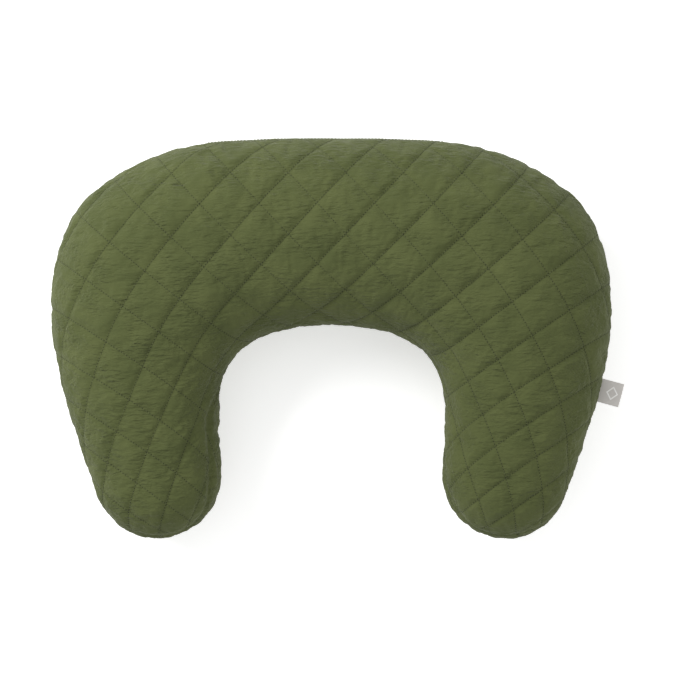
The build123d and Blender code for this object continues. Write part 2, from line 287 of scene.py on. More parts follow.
def lattice(plan):
    """The two seam counts at a point of the unrolled panel, and each one's slope per metre."""
    x, y = plan[..., 0] / LATTICE_UNIT, plan[..., 1] / LATTICE_UNIT
    p = P_SHIFT + x * (P_ACROSS + P_NARROWING * y + P_NARROWING_2 * y**2 + P_EDGE * x**2)
    q = Q_SHIFT + Q_UP * y + Q_UP_2 * y**2 + Q_UP_3 * y**3 + x**2 * (Q_BOW + Q_BOW_UP * y)
    p_x = P_ACROSS + P_NARROWING * y + P_NARROWING_2 * y**2 + 3 * P_EDGE * x**2
    p_y = x * (P_NARROWING + 2 * P_NARROWING_2 * y)
    q_x = 2 * x * (Q_BOW + Q_BOW_UP * y)
    q_y = Q_UP + 2 * Q_UP_2 * y + 3 * Q_UP_3 * y**2 + x**2 * Q_BOW_UP
    slope_a = np.hypot(p_x - q_x, p_y - q_y) / LATTICE_UNIT
    slope_b = np.hypot(p_x + q_x, p_y + q_y) / LATTICE_UNIT
    turn = sum(size * gauss(plan, place, (spread, spread)) for place, spread, size in LEFT_ARM_TURN)
    return p - q + turn, p + q, slope_a, slope_b


# ---- the panels' relief, in metres ----
LINE_DEPTH = 0.0014
CELL_RISE = 0.0006
LINE_SPREAD = 0.0042
CROSS_LINE_SHARE = 0.72  # the lines of the second direction pull in less
SEAM_PINCH = 0.0032
SEAM_PINCH_SPREAD = 0.006

FLOOR_CLEARANCE = 0.0006

noise_a, noise_b, noise_c, noise_d = (Noise(seed) for seed in (11, 23, 37, 51))


def streaks(plan, angle, across, along, noise):
    """Noise drawn out along a direction, as drag wrinkles are."""
    c, s = cos(radians(angle)), sin(radians(angle))
    u = plan[..., 0] * c + plan[..., 1] * s
    v = -plan[..., 0] * s + plan[..., 1] * c
    return noise(u / along + 40, v / across + 40)


def relief(plan, place, seam, zip_weight, top):
    """The panel's height over the smooth body: cells, quilting lines, seam gathers and wrinkles."""
    a, b, slope_a, slope_b = lattice(plan)
    near_a = np.abs(a - np.round(a)) / slope_a
    near_b = np.abs(b - np.round(b)) / slope_b
    cell = 1 / slope_a
    vary = 1 + 0.28 * noise_a(plan[..., 0] / 0.045, plan[..., 1] / 0.045)
    pull_a = np.exp(-near_a / LINE_SPREAD) * vary
    pull_b = np.exp(-near_b / LINE_SPREAD) * CROSS_LINE_SHARE * vary
    cells = CELL_RISE - (LINE_DEPTH + CELL_RISE) * (1 - (1 - pull_a) * (1 - pull_b))
    # the cells lap a little over the stronger lines
    lap = (a - np.floor(a)) ** 3
    cells += 0.0011 * (lap - 0.25) * (1 - np.exp(-near_a / 0.0025))
    # puckers that cross each line
    pucker_a = noise_b(b * cell / 0.0042, np.round(a) * 3.7) * np.exp(-near_a / 0.007)
    pucker_b = noise_c(a * cell / 0.0042, np.round(b) * 5.1) * np.exp(-near_b / 0.006)
    height = cells + 0.00042 * pucker_a + 0.00034 * pucker_b
    # soft unevenness, then fine crinkles that run across the pillow
    x, y = plan[..., 0], plan[..., 1]
    height += 0.0011 * noise_c(x / 0.06, y / 0.05) + 0.0006 * noise_d(x / 0.022, y / 0.018)
    crinkle_here = np.clip(0.55 + 0.9 * noise_a(x / 0.05 + 9, y / 0.05), 0, 1.3)
    crinkle = streaks(plan, 4, 0.0046, 0.016, noise_d) + 0.6 * streaks(plan, -9, 0.0034, 0.011, noise_b)
    height += 0.00048 * crinkle_here * crinkle
    if top:
        drag = gauss(plan, (-0.140, -0.095), (0.030, 0.060))
        height += 0.0013 * drag * streaks(plan, 38, 0.0062, 0.035, noise_b)
        tip_folds = gauss(plan, (-0.200, -0.195), (0.035, 0.026))
        height += 0.0017 * tip_folds * streaks(plan, 5, 0.010, 0.040, noise_c)
        crown_drag = gauss(plan, (-0.060, 0.000), (0.060, 0.026))
        height += 0.0011 * crown_drag * streaks(plan, 30, 0.009, 0.045, noise_d)
        pleat = plan - np.array((-0.150, 0.200))
        across = pleat[..., 0] * 0.75 - pleat[..., 1] * 0.66
        height += 0.0022 * np.exp(-((across / 0.006) ** 2)) * gauss(plan, (-0.150, 0.200), (0.03, 0.03))
    inner_left = gauss(place, (MIDDLE_X - 0.128, -0.105), (0.024, 0.048))
    folds = inner_left * streaks(place, 52, 0.0075, 0.035, noise_c)
    height += 0.0020 * folds * (1 - np.exp(-seam / 0.003))
    # the edge seam pulls in, and gathers stand square to it
    free = (1 - np.exp(-((seam / 0.007) ** 2))) * (0.4 + 0.6 * smoothstep(0.004, 0.045, seam))
    height = height * free
    pinch = (1 - zip_weight) * SEAM_PINCH * np.exp(-((seam / SEAM_PINCH_SPREAD) ** 2))
    return height - pinch


def gathers(columns, seam, zip_weight, seed):
    """Small folds square to the seam, which die out into the panel."""
    source = np.random.RandomState(seed)
    count = np.arange(columns)
    wave = np.zeros(columns)
    for period, size in ((7.0, 1.0), (11.3, 0.8), (17.9, 0.7)):
        phase = source.uniform(0, 2 * pi)
        turns = max(1, round(columns / period))
        wave += size * np.sin(2 * pi * turns * count / columns + phase + 1.3 * np.sin(count / 23.0 + phase))
    strength = 0.5 + 0.5 * np.sin(2 * pi * 9 * count / columns + source.uniform(0, 6)) ** 2
    fade = np.exp(-seam / 0.011) * (1 - np.exp(-((seam / 0.0025) ** 2)))
    return 0.0004 * (wave * strength * (1 - zip_weight))[:, None] * fade


def vertex_normals(co, quads):
    """Area-weighted normals of a quad mesh."""
    diagonal_a = co[quads[:, 2]] - co[quads[:, 0]]
    diagonal_b = co[quads[:, 3]] - co[quads[:, 1]]
    face = np.cross(diagonal_a, diagonal_b)
    total = np.zeros_like(co)
    for corner in range(4):
        np.add.at(total, quads[:, corner], face)
    return total / np.maximum(np.linalg.norm(total, axis=1, keepdims=True), 1e-12)


def ring_quads(columns, rows, offset):
    index = offset + np.arange(columns * rows).reshape(columns, rows)
    after = np.roll(index, -1, axis=0)
    return np.stack([index[:, :-1], after[:, :-1], after[:, 1:], index[:, 1:]], axis=-1).reshape(-1, 4)


def merge_points(co):
    """Which points differ by a micrometre or more, and the place of every point among them."""
    keys = np.round(co * 1e6).astype(np.int64)
    _, first, merged = np.unique(keys, axis=0, return_index=True, return_inverse=True)
    return first, merged.reshape(-1)


def without_repeats(quads):
    """Faces as lists, with the collapsed sides at the poles left out."""
    faces = []
    for quad in quads.tolist():
        corners = [quad[i] for i in range(4) if quad[i] != quad[i - 1]]
        if len(corners) > 2:
            faces.append(corners)
    return faces


def new_piece(name, co, faces, smooth=True):
    mesh = bpy.data.meshes.new(name)
    mesh.from_pydata(np.asarray(co).tolist(), [], faces)
    mesh.update()
    if smooth:
        mesh.shade_smooth()
    piece = bpy.data.objects.new(name, mesh)
    bpy.context.scene.collection.objects.link(piece)
    return piece


# ---- the cloth simulation, on a coarser copy of the grid ----
CLOTH_FRAMES = 16
CLOTH_PRESSURE = 4.0
CLOTH_GROWTH = 0.010  # the fabric is this much larger than the flat cell it is sewn round
CLOTH_CAP = 0.0045  # how far a point may move
PIN_SPREAD = 0.0034


def settle(panels, zips):
    """How far each point moves when the filling blows up panels held at their quilting lines and seams."""
    coarse = [panel["co"][::2, ::2] for panel in panels]
    columns, rows = coarse[0].shape[:2]
    co = np.concatenate([grid.reshape(-1, 3) for grid in coarse])
    quads = [ring_quads(columns, rows, 0)[:, ::-1], ring_quads(columns, rows, columns * rows)]
    first, merged = merge_points(co)
    held = []
    for panel in panels:
        a, b, slope_a, slope_b = (field[::2, ::2] for field in lattice(panel["plan"]))
        near = np.minimum(np.abs(a - np.round(a)) / slope_a, np.abs(b - np.round(b)) / slope_b)
        pin = np.exp(-((near / PIN_SPREAD) ** 2))
        pin = np.maximum(pin, np.exp(-((panel["seam"][::2, ::2] / 0.004) ** 2)))
        pin = np.maximum(pin, (zips[::2, None] > 0) & (panel["seam"][::2, ::2] < 0.012))
        held.append(pin.reshape(-1))
    held = np.concatenate(held)[first]
    faces = merged[np.concatenate(quads)]
    body = new_piece("cloth_body", co[first], without_repeats(faces))
    group = body.vertex_groups.new(name="held")
    for index in np.nonzero(held > 0.02)[0].tolist():
        group.add([index], float(held[index]), "REPLACE")
    cloth_modifier = body.modifiers.new("cloth", "CLOTH")
    settings = cloth_modifier.settings
    settings.quality = 4
    settings.mass = 0.15
    settings.air_damping = 4
    settings.tension_stiffness = 18
    settings.compression_stiffness = 18
    settings.shear_stiffness = 8
    settings.bending_stiffness = 0.25
    settings.use_pressure = True
    settings.uniform_pressure_force = CLOTH_PRESSURE
    settings.shrink_min = -CLOTH_GROWTH
    settings.vertex_group_mass = "held"
    settings.pin_stiffness = 1.0
    settings.effector_weights.gravity = 0
    cloth_modifier.point_cache.frame_start = 1
    cloth_modifier.point_cache.frame_end = CLOTH_FRAMES
    scene = bpy.context.scene
    for frame_number in range(1, CLOTH_FRAMES + 1):
        scene.frame_set(frame_number)
    settled = body.evaluated_get(bpy.context.evaluated_depsgraph_get()).data
    after = np.empty(len(first) * 3)
    settled.vertices.foreach_get("co", after)
    move = after.reshape(-1, 3) - co[first]
    bpy.data.objects.remove(body)
    scene.frame_set(1)
    size = np.linalg.norm(move, axis=1, keepdims=True)
    move = move * np.minimum(1, CLOTH_CAP / np.maximum(size, 1e-9))
    move = move[merged].reshape(2, columns, rows, 3)
    wide = np.empty((2, 2 * columns, rows, 3))
    wide[:, ::2] = move
    wide[:, 1::2] = (move + np.roll(move, -1, axis=1)) / 2
    full = np.empty((2, 2 * columns, 2 * rows - 1, 3))
    full[:, :, ::2] = wide
    full[:, :, 1::2] = (wide[:, :, :-1] + wide[:, :, 1:]) / 2
    return full.reshape(-1, 3)


def build_panels():
    """The two quilted panels, as one closed body that is then parted at the seam."""
    panels, zips, smooth_sections = body_grid()
    columns, rows = panels[0]["seam"].shape
    co = np.concatenate([panel["co"].reshape(-1, 3) for panel in panels])
    quads = [ring_quads(columns, rows, 0)[:, ::-1], ring_quads(columns, rows, columns * rows)]
    first, merged = merge_points(co)
    weight = np.repeat(zips[:, None], rows, axis=1)
    co = co + settle(panels, zips)
    rise = []
    for panel, top, seed in ((panels[0], True, 3), (panels[1], False, 5)):
        height = relief(panel["plan"], panel["co"][..., :2], panel["seam"], weight, top)
        height += gathers(columns, panel["seam"], zips, seed)
        rise.append(height.reshape(-1))
    rise = np.concatenate(rise)
    total = np.zeros(len(first))
    count = np.zeros(len(first))
    np.add.at(total, merged, rise)
    np.add.at(count, merged, 1)
    points = co[first]
    normals = vertex_normals(points, merged[np.concatenate(quads)])
    co = (points + normals * (total / count)[:, None])[merged]
    co[:, 2] = np.maximum(co[:, 2], FLOOR_CLEARANCE)
    pieces = []
    for name, faces, panel in zip(("quilted_top_panel", "quilted_underside_panel"), quads, panels):
        used = merged[faces]
        kept, local = np.unique(used, return_inverse=True)
        first_of = np.zeros(len(first), int)
        first_of[merged] = np.arange(len(merged))
        piece = new_piece(name, co[first_of[kept]], without_repeats(local.reshape(-1, 4)))
        pieces.append(piece)
    for panel, part in zip(panels, (co[: columns * rows], co[columns * rows :])):
        panel["co"] = part.reshape(columns, rows, 3)
    return pieces, panels, smooth_sections


(top_panel, underside_panel), panel_grids, smooth_sections = build_panels()


# ---- the stuffed insert, inside the cover ----
INSERT_STEP = 4  # grid columns to one of the insert's
INSERT_ROWS = 26
INSERT_REAR_Y = TAPE_FACE_Y - 0.0046  # it lies flat behind the zip


def insert_shell(name, inset, wrinkle):
    """The smooth body drawn in by an inset, closed at the seam, with soft wrinkles."""
    columns = []
    for halves in smooth_sections[::INSERT_STEP]:
        (xy_up, z_up), (xy_low, z_low) = halves
        line = np.column_stack([np.vstack([xy_up[::-1], xy_low[1:]]), np.concatenate([z_up[::-1], z_low[1:]])])
        length = np.concatenate([[0], np.cumsum(np.linalg.norm(np.diff(line, axis=0), axis=1))])
        at = np.linspace(0, length[-1], 2 * INSERT_ROWS + 1)
        columns.append(np.column_stack([np.interp(at, length, line[:, i]) for i in range(3)]))
    grid = np.array(columns)
    co = grid.reshape(-1, 3)
    quads = ring_quads(grid.shape[0], grid.shape[1], 0)
    first, merged = merge_points(co)
    faces = merged[quads]
    points = co[first]
    normals = vertex_normals(points, faces)
    outward = np.sign(normals[np.argmax(points[:, 2]), 2])
    soft = noise_c(points[:, 0] / 0.03 + 5, (points[:, 1] + points[:, 2]) / 0.02) * wrinkle
    points = points - outward * normals * (inset + wrinkle + soft)[:, None]
    points[:, 1] = np.minimum(points[:, 1], INSERT_REAR_Y - inset * 0.1)
    points[:, 2] = np.maximum(points[:, 2], inset)
    return new_piece(name, points, without_repeats(faces[:, :: int(outward)]))


casing_piece = insert_shell("stuffed_insert_casing", 0.0062, 0.0008)
filling_piece = insert_shell("stuffed_insert_filling", 0.0088, 0.0004)
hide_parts("insert_casing_top", "insert_casing_underside")
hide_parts("fibre_filling")


# ---- thread: quilting stitches, painted shade of the needle holes and the zip's top-stitching ----
STITCH_PITCH = 0.0032
STITCH_LENGTH = 0.0021
STITCH_RADIUS = 0.00030
# painted shade: the size of the dark discs that stand in for the needle holes' shade
HOLE_SHADE_RADIUS = 0.00052


def grid_normals(co):
    """Unit normals of a closed-ring grid, towards the outside of the body."""
    along = np.roll(co, -1, axis=0) - np.roll(co, 1, axis=0)
    across = np.gradient(co, axis=1)
    normal = np.cross(across, along)
    return normal / np.maximum(np.linalg.norm(normal, axis=2, keepdims=True), 1e-9)


def crossings(field, other, co, normal):
    """Where the grid's edges cross the field's whole numbers: line number, place along it, point and normal."""
    found = []
    for axis in (0, 1):
        ends = (lambda v: (v, np.roll(v, -1, axis=0))) if axis == 0 else (lambda v: (v[:, :-1], v[:, 1:]))
        (f0, f1), (g0, g1), (c0, c1), (n0, n1) = (ends(v) for v in (field, other, co, normal))
        line = np.maximum(np.floor(f0), np.floor(f1))
        hit = (np.floor(f0) != np.floor(f1)) & (np.abs(f1 - f0) < 1)
        t = ((line - f0) / np.where(f1 == f0, 1, f1 - f0))[hit][:, None]
        mix = lambda u, v: u[hit] * (1 - t) + v[hit] * t
        place = g0[hit] * (1 - t[:, 0]) + g1[hit] * t[:, 0]
        found.append((line[hit], place, mix(c0, c1), mix(n0, n1)))
    return [np.concatenate(parts) for parts in zip(*found)]


def chains(line, place, point, normal, gap=0.009):
    """The crossings as runs of points in order along each line."""
    for number in np.unique(line):
        own = line == number
        order = np.argsort(place[own])
        p, n = point[own][order], normal[own][order]
        if len(p) < 4:
            continue
        breaks = np.nonzero(np.linalg.norm(np.diff(p, axis=0), axis=1) > gap)[0] + 1
        for run_p, run_n in zip(np.split(p, breaks), np.split(n, breaks)):
            if len(run_p) > 5:
                yield run_p, run_n


def stitches_along(p, n, pitch=STITCH_PITCH, length=STITCH_LENGTH):
    """Stitch ends and normals at an even pitch along a run of points."""
    along = np.concatenate([[0], np.cumsum(np.linalg.norm(np.diff(p, axis=0), axis=1))])
    start = np.arange(pitch * 0.5, along[-1] - pitch, pitch)
    at = lambda s, v: np.column_stack([np.interp(s, along, v[:, i]) for i in range(3)])
    return at(start, p), at(start + length, p), at(start + length / 2, n), at(start + (pitch + length) / 2, p)


def thread_mesh(name, starts, ends, normals, radius):
    """Short rounded stitches: four-sided, thickest in the middle, with both ends sunk in the cloth."""
    along = ends - starts
    length = np.linalg.norm(along, axis=1, keepdims=True)
    along = along / np.maximum(length, 1e-9)
    up = normals - along * np.sum(normals * along, axis=1, keepdims=True)
    up /= np.maximum(np.linalg.norm(up, axis=1, keepdims=True), 1e-9)
    side = np.cross(along, up)
    rings = []
    for share, lift, size in ((0.0, -0.6, 0.55), (0.2, 0.7, 0.95), (0.8, 0.7, 0.95), (1.0, -0.6, 0.55)):
        centre = starts + along * length * share + up * radius * lift
        for angle in (0, pi / 2, pi, 3 * pi / 2):
            rings.append(centre + (side * cos(angle) + up * sin(angle)) * radius * size)
    co = np.stack(rings, axis=1).reshape(-1, 3)
    pattern = []
    for r in (0, 4, 8):
        pattern += [(r + i, r + (i + 1) % 4, r + 4 + (i + 1) % 4, r + 4 + i) for i in range(4)]
    pattern += [(3, 2, 1, 0), (12, 13, 14, 15)]
    faces = (np.arange(len(starts))[:, None, None] * 16 + np.array(pattern)).reshape(-1, 4)
    return new_piece(name, co, faces.tolist())


def hole_shade_mesh(name, centres, normals, radius):
    """Painted shade of the needle's holes: small dark six-sided discs in the crease's floor."""
    normals = normals / np.maximum(np.linalg.norm(normals, axis=1, keepdims=True), 1e-9)
    helper = np.where(np.abs(normals[:, 2:3]) < 0.9, np.array([[0, 0, 1.0]]), np.array([[1.0, 0, 0]]))
    u = np.cross(helper, normals)
    u /= np.linalg.norm(u, axis=1, keepdims=True)
    v = np.cross(normals, u)
    base = centres + normals * 0.00016
    corners = [base + (u * cos(a) + v * sin(a)) * radius for a in np.arange(6) * pi / 3]
    co = np.stack(corners, axis=1).reshape(-1, 3)
    return new_piece(name, co, np.arange(len(co)).reshape(-1, 6).tolist(), smooth=False)


def quilting(grid, side_name):
    co, normal = grid["co"], grid_normals(grid["co"])
    if normal[0, -10, 2] * (1 if side_name == "top" else -1) < 0:
        normal = -normal
    a, b, _, _ = lattice(grid["plan"])
    parts = []
    for field, other in ((a, b), (b, a)):
        for p, n in chains(*crossings(field, other, co, normal)):
            parts.append(stitches_along(p, n))
    starts, ends, normals, hole_shade_centres = (np.concatenate(v) for v in zip(*parts))
    thread = thread_mesh(f"quilting_stitches_{side_name}", starts, ends, normals, STITCH_RADIUS)
    # painted shade: dark discs between the stitches, in place of the needle holes' shade
    hole_shade_discs = hole_shade_mesh(f"quilting_needle_hole_shade_{side_name}", hole_shade_centres, normals, HOLE_SHADE_RADIUS)
    return thread, hole_shade_discs


quilt_threads, quilt_hole_shades = zip(quilting(panel_grids[0], "top"), quilting(panel_grids[1], "underside"))


def zip_topstitch(grid, name):
    """A row of stitches along the folded edge beside the zip."""
    co, normal = grid["co"], grid_normals(grid["co"])
    points, normals = [], []
    order = np.argsort(co[:, 0, 0])
    for k in order:
        p = co[k]
        opens, _, distance = zip_end(p[0, 0])
        if p[0, 1] < 0.15 or distance > opens:
            continue
        row = np.argmax(grid["seam"][k] > 0.0032)
        points.append(p[row])
        n = normal[k, row]
        normals.append(n if n[1] > 0 else -n)
    p, n = np.array(points), np.array(normals)
    starts, ends, normal_at, _ = stitches_along(p, n, 0.0036, 0.0028)
    return thread_mesh(name, starts, ends, normal_at, 0.00032)


zip_stitches = [
    zip_topstitch(panel_grids[0], "zip_topstitching_upper"),
    zip_topstitch(panel_grids[1], "zip_topstitching_lower"),
]


# ---- the zip's coils ----
def tube(path, radius, sides=6):
    """A round tube along a polyline, closed at both ends."""
    path = np.asarray(path)
    tangent = np.gradient(path, axis=0)
    tangent /= np.linalg.norm(tangent, axis=1, keepdims=True)
    up = np.array((0.0, 0.0, 1.0))
    side = np.cross(tangent, up)
    weak = np.linalg.norm(side, axis=1) < 0.2
    side[weak] = np.cross(tangent[weak], np.array((1.0, 0.0, 0.0)))
    side /= np.linalg.norm(side, axis=1, keepdims=True)
    lift = np.cross(side, tangent)
    angles = np.arange(sides) * 2 * pi / sides
    co = np.stack([path + (side * cos(a) + lift * sin(a)) * radius for a in angles], axis=1).reshape(-1, 3)
    faces = []
    for k in range(len(path) - 1):
        for i in range(sides):
            j = (i + 1) % sides
            faces.append((k * sides + i, k * sides + j, (k + 1) * sides + j, (k + 1) * sides + i))
    faces += [tuple(range(sides))[::-1], tuple(range(len(co) - sides, len(co)))]
    return co, faces


def coil(node, name, phase):
    """One nylon coil: a flattened helix that fills the CAD node's bar."""
    low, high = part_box(node)
    wire = 0.00032
    pitch = 0.0013
    turns = int((high.x - low.x) / pitch)
    a = np.linspace(0, 2 * pi * turns, turns * 9)
    path = np.column_stack([
        low.x + (high.x - low.x) * (a + phase) / (2 * pi * turns + phase),
        (low.y + high.y) / 2 + ((high.y - low.y) / 2 - wire) * np.cos(a + phase),
        (low.z + high.z) / 2 + ((high.z - low.z) / 2 - wire) * np.sin(a + phase),
    ])
    piece = new_piece(name, *tube(path, wire, 5))
    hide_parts(node)
    return piece


coil_pieces = [
    coil("zip_coil_lower", "wound_coil_lower", 0.0),
    coil("zip_coil_upper", "wound_coil_upper", pi),
]


# ---- the fabric facing behind the zip's open end ----
FACING_LENGTH = 0.019
FACING_HALF_HEIGHT = 0.0105


def zip_facing():
    """A small folded patch between the tape's end and the insert, a little bowed."""
    count_x, count_z = 16, 12
    back = TAPE_FACE_Y - 0.0014
    co = []
    for layer in (0.0, -0.0008):
        for u in np.linspace(0, 1, count_x):
            for v in np.linspace(-1, 1, count_z):
                x = MIDDLE_X - TAPE_HALF_LENGTH + 0.004 - FACING_LENGTH * u
                co.append((x, back + layer - 0.0008 * v * v * u, SEAM_Z + FACING_HALF_HEIGHT * v))
    size = count_x * count_z
    faces = []
    for i in range(count_x - 1):
        for j in range(count_z - 1):
            q = (i * count_z + j, i * count_z + j + 1, (i + 1) * count_z + j + 1, (i + 1) * count_z + j)
            faces += [q, tuple(size + v for v in q[::-1])]
    rim = [i * count_z for i in range(count_x)] + [(count_x - 1) * count_z + j for j in range(1, count_z)]
    rim += [i * count_z + count_z - 1 for i in range(count_x - 2, -1, -1)]
    rim += list(range(count_z - 2, 0, -1))
    for p, q in zip(rim, rim[1:] + rim[:1]):
        faces.append((p, q, size + q, size + p))
    return new_piece("zip_end_facing", co, faces)


facing_piece = zip_facing()


# ---- the side label: one ribbon folded over, its ends caught in the seam ----
LABEL_TURN = radians(-15)
LABEL_WIDTH = 0.0255
LABEL_REACH = 0.022
LABEL_ROOT = 0.004
RIBBON = 0.00035


def label_path():
    """The folded ribbon seen from its side: along the reach and up."""
    fold_start = LABEL_REACH - 0.001
    shares = np.linspace(0, 1, 14)
    top = [(-LABEL_ROOT + (LABEL_ROOT + fold_start) * t, 0.0006 + 0.0009 * sin(pi * t)) for t in shares]
    turns = np.linspace(pi / 2, -pi / 2, 7)[1:-1]
    fold = [(fold_start + 0.0008 * cos(a), 0.0006 * sin(a)) for a in turns]
    low = [(x, z * -0.6 + (z - 0.0006) * 0.9) for x, z in top[::-1]]
    return np.array(top + fold + low)


def label_point(reach, across, up):
    low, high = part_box("side_label")
    out = np.array((cos(LABEL_TURN), sin(LABEL_TURN)))
    wide = np.array((-out[1], out[0]))
    tip = np.array(((low.x + high.x) / 2, (low.y + high.y) / 2)) + out * LABEL_TIP
    curl = 0.0016 * (across / LABEL_WIDTH * 2) ** 2 * (reach / LABEL_REACH)
    flat = tip + out * (reach - LABEL_REACH) + wide * across
    return (flat[0], flat[1], SEAM_Z + up - curl)


def label_tip():
    """From the middle of the CAD label's box to its outer edge, along the reach."""
    low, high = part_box("side_label")
    return (high.x - low.x) / 2 / cos(LABEL_TURN) - LABEL_WIDTH / 2 * abs(sin(LABEL_TURN)) / cos(LABEL_TURN)


LABEL_TIP = label_tip()


def ribbon(name, path, across, lift=0.0):
    """A band swept along a side path, with a real thickness."""
    path = np.asarray(path)
    tangent = np.gradient(path, axis=0)
    tangent /= np.linalg.norm(tangent, axis=1, keepdims=True)
    normal = np.column_stack([-tangent[:, 1], tangent[:, 0]])
    outer = path + normal * (RIBBON / 2 + lift)
    inner = path - normal * (RIBBON / 2 - lift)
    co, count = [], len(across)
    for layer in (outer, inner):
        for reach, up in layer:
            co += [label_point(reach, a, up) for a in across]
    size = len(path) * count
    faces = []
    for k in range(len(path) - 1):
        for i in range(count - 1):
            q = (k * count + i, k * count + i + 1, (k + 1) * count + i + 1, (k + 1) * count + i)
            faces += [q, tuple(size + v for v in q[::-1])]
        for i in (0, count - 1):
            faces.append((k * count + i, (k + 1) * count + i, size + (k + 1) * count + i, size + k * count + i))
    for k in (0, len(path) - 1):
        for i in range(count - 1):
            faces.append((k * count + i, k * count + i + 1, size + k * count + i + 1, size + k * count + i))
    piece = new_piece(name, co, faces)
    bm = bmesh.new()
    bm.from_mesh(piece.data)
    bmesh.ops.recalc_face_normals(bm, faces=bm.faces)
    bm.to_mesh(piece.data)
    bm.free()
    return piece


label_piece = ribbon("folded_side_label", label_path(), np.linspace(-LABEL_WIDTH / 2, LABEL_WIDTH / 2, 15))
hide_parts("side_label")


def label_mark():
    """A plain open rhombus woven into the label's upper face."""
    co, faces = [], []
    path = label_path()[:14]
    height = lambda reach: np.interp(reach, path[:, 0], path[:, 1]) + RIBBON / 2 + 0.00012
    middle = LABEL_REACH * 0.52
    steps = 8
    for size in (0.0066, 0.0048):
        corners = [(size, 0), (0, size * 1.15), (-size, 0), (0, -size * 1.15)]
        for (u0, v0), (u1, v1) in zip(corners, corners[1:] + corners[:1]):
            for t in np.arange(steps) / steps:
                u, v = u0 + (u1 - u0) * t, v0 + (v1 - v0) * t
                co.append(label_point(middle + u, v, height(middle + u)))
    ring_size = 4 * steps
    for i in range(ring_size):
        j = (i + 1) % ring_size
        faces.append((i, j, ring_size + j, ring_size + i))
    return new_piece("woven_label_mark", co, faces)


mark_piece = label_mark()


# ---- materials ----
def material(name, colour, roughness, **inputs):
    made = bpy.data.materials.new(name)
    made.use_nodes = True
    shader = made.node_tree.nodes["Principled BSDF"]
    shader.inputs["Base Color"].default_value = (*colour, 1)
    shader.inputs["Roughness"].default_value = roughness
    for key, value in inputs.items():
        shader.inputs[key.replace("_", " ").title()].default_value = value
    return made, made.node_tree, shader


def link(tree, a, b):
    tree.links.new(a, b)


def noise_node(tree, scale, stretch=(1, 1, 1), turn=0.0, detail=3.0):
    """Noise in the object's own metres, stretched along its axes."""
    coordinates = tree.nodes.new("ShaderNodeTexCoord")
    mapping = tree.nodes.new("ShaderNodeMapping")
    mapping.inputs["Scale"].default_value = stretch
    mapping.inputs["Rotation"].default_value = (0, 0, turn)
    noise = tree.nodes.new("ShaderNodeTexNoise")
    noise.inputs["Scale"].default_value = scale
    noise.inputs["Detail"].default_value = detail
    link(tree, coordinates.outputs["Object"], mapping.inputs["Vector"])
    link(tree, mapping.outputs["Vector"], noise.inputs["Vector"])
    return noise.outputs["Fac"]


def weave_node(tree, pitch):
    """Crossing waves at the yarn's pitch."""
    coordinates = tree.nodes.new("ShaderNodeTexCoord")
    waves = []
    for direction in ("X", "Y"):
        wave = tree.nodes.new("ShaderNodeTexWave")
        wave.bands_direction = direction
        wave.inputs["Scale"].default_value = 0.314 / pitch
        wave.inputs["Distortion"].default_value = 0.6
        link(tree, coordinates.outputs["Object"], wave.inputs["Vector"])
        waves.append(wave.outputs["Fac"])
    both = tree.nodes.new("ShaderNodeMath")
    both.operation = "MULTIPLY"
    link(tree, waves[0], both.inputs[0])
    link(tree, waves[1], both.inputs[1])
    return both.outputs["Value"]


def crinkle_node(tree, scale, stretch, turn, patch_scale, low, high):
    """Long fine crinkles that come and go in patches."""
    patch = tree.nodes.new("ShaderNodeMapRange")
    patch.inputs["From Min"].default_value = low
    patch.inputs["From Max"].default_value = high
    link(tree, noise_node(tree, patch_scale, detail=2), patch.inputs["Value"])
    centred = tree.nodes.new("ShaderNodeMath")
    centred.operation = "SUBTRACT"
    centred.inputs[1].default_value = 0.5
    link(tree, noise_node(tree, scale, stretch, turn, 2.0), centred.inputs[0])
    product = tree.nodes.new("ShaderNodeMath")
    product.operation = "MULTIPLY"
    link(tree, centred.outputs["Value"], product.inputs[0])
    link(tree, patch.outputs["Result"], product.inputs[1])
    return product.outputs["Value"]


def add_bump(tree, shader, layers):
    """Bumps one over another: each a height output, a distance in metres and a strength."""
    before = None
    for height, distance, strength in layers:
        bump = tree.nodes.new("ShaderNodeBump")
        bump.inputs["Distance"].default_value = distance
        bump.inputs["Strength"].default_value = strength
        link(tree, height, bump.inputs["Height"])
        if before is not None:
            link(tree, before, bump.inputs["Normal"])
        before = bump.outputs["Normal"]
    link(tree, before, shader.inputs["Normal"])


def vary_colour(tree, shader, source, dark, light, low=0.3, high=0.7):
    ramp = tree.nodes.new("ShaderNodeValToRGB")
    ramp.color_ramp.elements[0].position = low
    ramp.color_ramp.elements[1].position = high
    ramp.color_ramp.elements[0].color = (*dark, 1)
    ramp.color_ramp.elements[1].color = (*light, 1)
    link(tree, source, ramp.inputs["Fac"])
    link(tree, ramp.outputs["Color"], shader.inputs["Base Color"])


def cloth(name, dark, light, weave_pitch, weave_depth, crinkle_depth, roughness=0.9, sheen=0.06):
    made, tree, shader = material(name, light, roughness)
    shader.inputs["Sheen Weight"].default_value = sheen
    shader.inputs["Sheen Roughness"].default_value = 0.5
    shader.inputs["Specular IOR Level"].default_value = 0.2
    vary_colour(tree, shader, noise_node(tree, 30, detail=4), dark, light)
    add_bump(
        tree,
        shader,
        [
            (crinkle_node(tree, 260, (0.26, 1, 1), radians(5), 34, 0.34, 0.62), crinkle_depth, 1.0),
            (crinkle_node(tree, 420, (0.36, 1, 1), radians(-9), 52, 0.30, 0.60), crinkle_depth * 0.5, 1.0),
            (weave_node(tree, weave_pitch), weave_depth, 0.6),
        ],
    )
    return made


